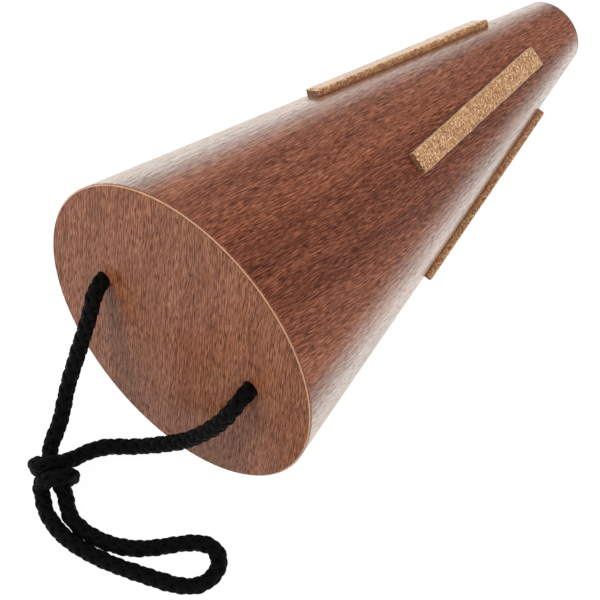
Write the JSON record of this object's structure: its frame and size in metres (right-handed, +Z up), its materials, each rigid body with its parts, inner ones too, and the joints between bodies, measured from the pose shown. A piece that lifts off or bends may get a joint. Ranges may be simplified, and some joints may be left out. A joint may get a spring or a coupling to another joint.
{
  "type": "french horn straight mute",
  "caption": "Conical veneered wooden straight mute for a french horn, with cork strips, a sliding tuning tube and a braided cord hand loop.",
  "frame": {"origin": "on the surface the mute lies on, below the middle of the mute's own box, cord left out", "axes": "+Z up; the mute's axis lies in the XZ plane with its narrow open end towards +X and leans down by 9.7 degrees"},
  "size_m": [0.365, 0.1458, 0.1436],
  "materials": {
    "side_veneer": "satin figured veneer",
    "shell_ply": "moulded ply",
    "disc_core": "pale wood, turned edge",
    "face_veneer": "satin figured veneer",
    "hoop_wood": "plain wood",
    "ring_wood": "satin turned wood",
    "bush_cork": "cork",
    "tube_wood": "satin turned wood",
    "lip_wood": "satin turned wood",
    "stopper_left": "braided cord",
    "stopper_right": "braided cord",
    "cord_leg_left_braid": "braided cord",
    "cord_leg_right_braid": "braided cord",
    "cord_loop_braid": "braided cord",
    "knot_braid": "braided cord",
    "cork_1": "cork",
    "cork_2": "cork",
    "cork_3": "cork",
    "cork_4": "cork",
    "cork_5": "cork"
  },
  "bodies": {
    "mute_body": {"cone_veneer": "side_veneer", "cone_shell": "shell_ply", "base_disc": "disc_core", "base_veneer": "face_veneer", "base_hoop": "hoop_wood", "mouth_ring": "ring_wood", "tube_bush": "bush_cork", "cord_stopper_left": "stopper_left", "cord_stopper_right": "stopper_right", "cord_leg_left": "cord_leg_left_braid", "cord_leg_right": "cord_leg_right_braid", "cord_loop": "cord_loop_braid", "cord_knot": "knot_braid", "cork_strip_1": "cork_1", "cork_strip_2": "cork_2", "cork_strip_3": "cork_3", "cork_strip_4": "cork_4", "cork_strip_5": "cork_5"},
    "sliding_tube": {"tuning_tube": "tube_wood", "tube_lip": "lip_wood"}
  },
  "joints": [
    {"name": "tube_slide", "type": "slide", "parent": "mute_body", "child": "sliding_tube", "axis": [0.9857, 0, -0.1684], "range_m": [0, 0.03]}
  ]
}
